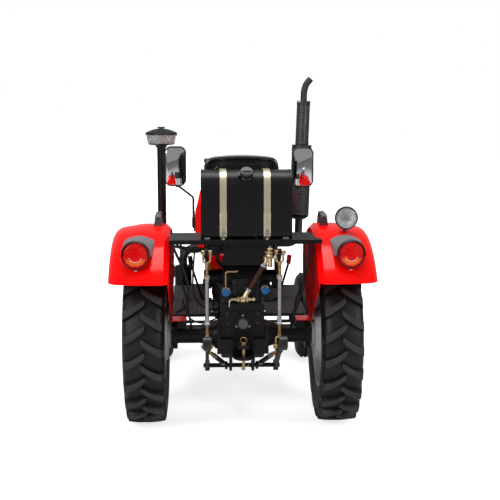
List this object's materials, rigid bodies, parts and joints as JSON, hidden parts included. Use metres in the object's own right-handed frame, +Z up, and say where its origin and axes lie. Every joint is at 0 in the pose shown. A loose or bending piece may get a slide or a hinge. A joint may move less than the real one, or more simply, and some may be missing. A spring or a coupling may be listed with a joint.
{
  "type": "compact farm tractor",
  "caption": "Compact two-wheel-drive farm tractor with open platform, flat-topped fenders, lug tyres, rear fuel tank, upright exhaust and a rear three-point lift linkage.",
  "frame": {"origin": "on the ground under the middle of the tractor's outline, on its centre plane", "axes": "+X to the tractor's right, +Y forward, +Z up"},
  "size_m": [1.514, 2.725, 2.0865],
  "materials": {
    "red_paint": "gloss",
    "black_paint": "satin",
    "tank_black": "satin",
    "black_heat_paint": "matte",
    "grey_paint": "matte",
    "rim_paint": "satin",
    "tyre": "matte",
    "black_plastic": "satin",
    "grey_plastic": "matte",
    "seat_vinyl": "satin",
    "black_rubber": "matte",
    "strap_zinc": "satin",
    "yellow_zinc": "satin",
    "silver_zinc": "satin",
    "blue_cap": "satin",
    "red_lens": "gloss",
    "clear_lens": "gloss",
    "clear_bowl": "gloss"
  },
  "bodies": {
    "chassis": {"transmission_case": "black_paint", "rear_axle_housings": "black_paint", "lift_cover": "black_paint", "hydraulic_couplers": "yellow_zinc", "coupler_caps": "blue_cap", "power_take_off": "black_paint", "drawbar_frame": "black_paint", "hitch_pin": "yellow_zinc", "top_link": "yellow_zinc", "front_frame": "black_paint", "front_axle": "black_paint", "steering_column": "black_paint", "engine": "black_paint", "radiator": "black_paint", "cooling_fan": "black_plastic", "cowl": "red_paint", "fender_right": "red_paint", "fender_left": "red_paint", "tank_shelf": "black_paint", "fuel_tank": "tank_black", "tank_straps": "strap_zinc", "fuel_cap": "black_plastic", "fender_handles": "grey_plastic", "tail_lamp_hoods": "grey_plastic", "tail_lamps": "red_lens", "work_lamp": "clear_lens", "footboards": "grey_paint", "seat_frame": "black_plastic", "seat_cushions": "seat_vinyl", "precleaner": "clear_bowl", "air_cleaner": "black_paint", "intake_hose": "black_rubber", "exhaust": "black_heat_paint", "mirrors": "black_plastic", "controls": "black_paint", "wiring_looms": "black_rubber"},
    "rear_wheel_left": {"rear_rim_left": "rim_paint", "rear_tyre_left": "tyre"},
    "rear_wheel_right": {"rear_rim_right": "rim_paint", "rear_tyre_right": "tyre"},
    "knuckle_left_body": {"knuckle_left": "black_paint"},
    "knuckle_right_body": {"knuckle_right": "black_paint"},
    "tie_rod_body": {"tie_rod": "black_paint"},
    "front_wheel_left": {"front_rim_left": "rim_paint", "front_tyre_left": "tyre"},
    "front_wheel_right": {"front_rim_right": "rim_paint", "front_tyre_right": "tyre"},
    "steering_wheel_body": {"steering_wheel": "black_plastic"},
    "hood_body": {"hood": "red_paint", "hood_side_panels": "grey_paint", "grille": "black_plastic", "headlamps": "clear_lens"},
    "lift_arms_body": {"lift_arms": "black_paint"},
    "lift_rod_left_body": {"lift_rod_left": "silver_zinc"},
    "lift_rod_right_body": {"lift_rod_right": "silver_zinc"},
    "lower_link_left_body": {"lower_link_left": "black_paint"},
    "lower_link_right_body": {"lower_link_right": "black_paint"}
  },
  "joints": [
    {"name": "rear_wheel_left_spin", "type": "hinge", "parent": "chassis", "child": "rear_wheel_left", "pos_m": [-0.565, -0.6175, 0.525], "axis": [1, 0, 0], "continuous": true},
    {"name": "rear_wheel_right_spin", "type": "hinge", "parent": "chassis", "child": "rear_wheel_right", "pos_m": [0.565, -0.6175, 0.525], "axis": [1, 0, 0], "continuous": true},
    {"name": "steer", "type": "hinge", "parent": "chassis", "child": "knuckle_left_body", "pos_m": [-0.44, 0.9125, 0.32], "axis": [0, 0, 1], "range_deg": [-38, 38]},
    {"name": "steer_right", "type": "hinge", "parent": "chassis", "child": "knuckle_right_body", "pos_m": [0.44, 0.9125, 0.32], "axis": [0, 0, 1], "range_deg": [-38, 38]},
    {"name": "tie_rod_pivot", "type": "hinge", "parent": "knuckle_left_body", "child": "tie_rod_body", "pos_m": [-0.44, 0.7825, 0.3], "axis": [0, 0, 1], "range_deg": [-38, 38]},
    {"name": "front_wheel_left_spin", "type": "hinge", "parent": "knuckle_left_body", "child": "front_wheel_left", "pos_m": [-0.53, 0.9125, 0.32], "axis": [1, 0, 0], "continuous": true},
    {"name": "front_wheel_right_spin", "type": "hinge", "parent": "knuckle_right_body", "child": "front_wheel_right", "pos_m": [0.53, 0.9125, 0.32], "axis": [1, 0, 0], "continuous": true},
    {"name": "steering_wheel_turn", "type": "hinge", "parent": "chassis", "child": "steering_wheel_body", "pos_m": [0, -0.1055, 1.352], "axis": [0, -0.6894, 0.7244], "range_deg": [-533, 533]},
    {"name": "hood_hinge", "type": "hinge", "parent": "chassis", "child": "hood_body", "pos_m": [0, 0.1885, 1.34], "axis": [1, 0, 0], "range_deg": [0, 55]},
    {"name": "lift", "type": "hinge", "parent": "chassis", "child": "lift_arms_body", "pos_m": [0, -0.7175, 0.895], "axis": [-1, 0, 0], "range_deg": [-36, 4]},
    {"name": "lower_link_left_pivot", "type": "hinge", "parent": "chassis", "child": "lower_link_left_body", "pos_m": [-0.205, -0.7075, 0.352], "axis": [-1, 0, 0], "range_deg": [-36, 4]},
    {"name": "lower_link_right_pivot", "type": "hinge", "parent": "chassis", "child": "lower_link_right_body", "pos_m": [0.205, -0.7075, 0.352], "axis": [-1, 0, 0], "range_deg": [-36, 4]},
    {"name": "lift_rod_left_pivot", "type": "hinge", "parent": "lift_arms_body", "child": "lift_rod_left_body", "pos_m": [-0.205, -1.0175, 1.08], "axis": [-1, 0, 0], "range_deg": [-4, 36]},
    {"name": "lift_rod_right_pivot", "type": "hinge", "parent": "lift_arms_body", "child": "lift_rod_right_body", "pos_m": [0.205, -1.0175, 1.08], "axis": [-1, 0, 0], "range_deg": [-4, 36]}
  ],
  "couplings": [
    {"joint": "steer_right", "follows": "steer", "ratio": 1},
    {"joint": "tie_rod_pivot", "follows": "steer", "ratio": -1},
    {"joint": "steering_wheel_turn", "follows": "steer", "ratio": 14},
    {"joint": "lower_link_left_pivot", "follows": "lift", "ratio": 1},
    {"joint": "lower_link_right_pivot", "follows": "lift", "ratio": 1},
    {"joint": "lift_rod_left_pivot", "follows": "lift", "ratio": -1},
    {"joint": "lift_rod_right_pivot", "follows": "lift", "ratio": -1}
  ]
}
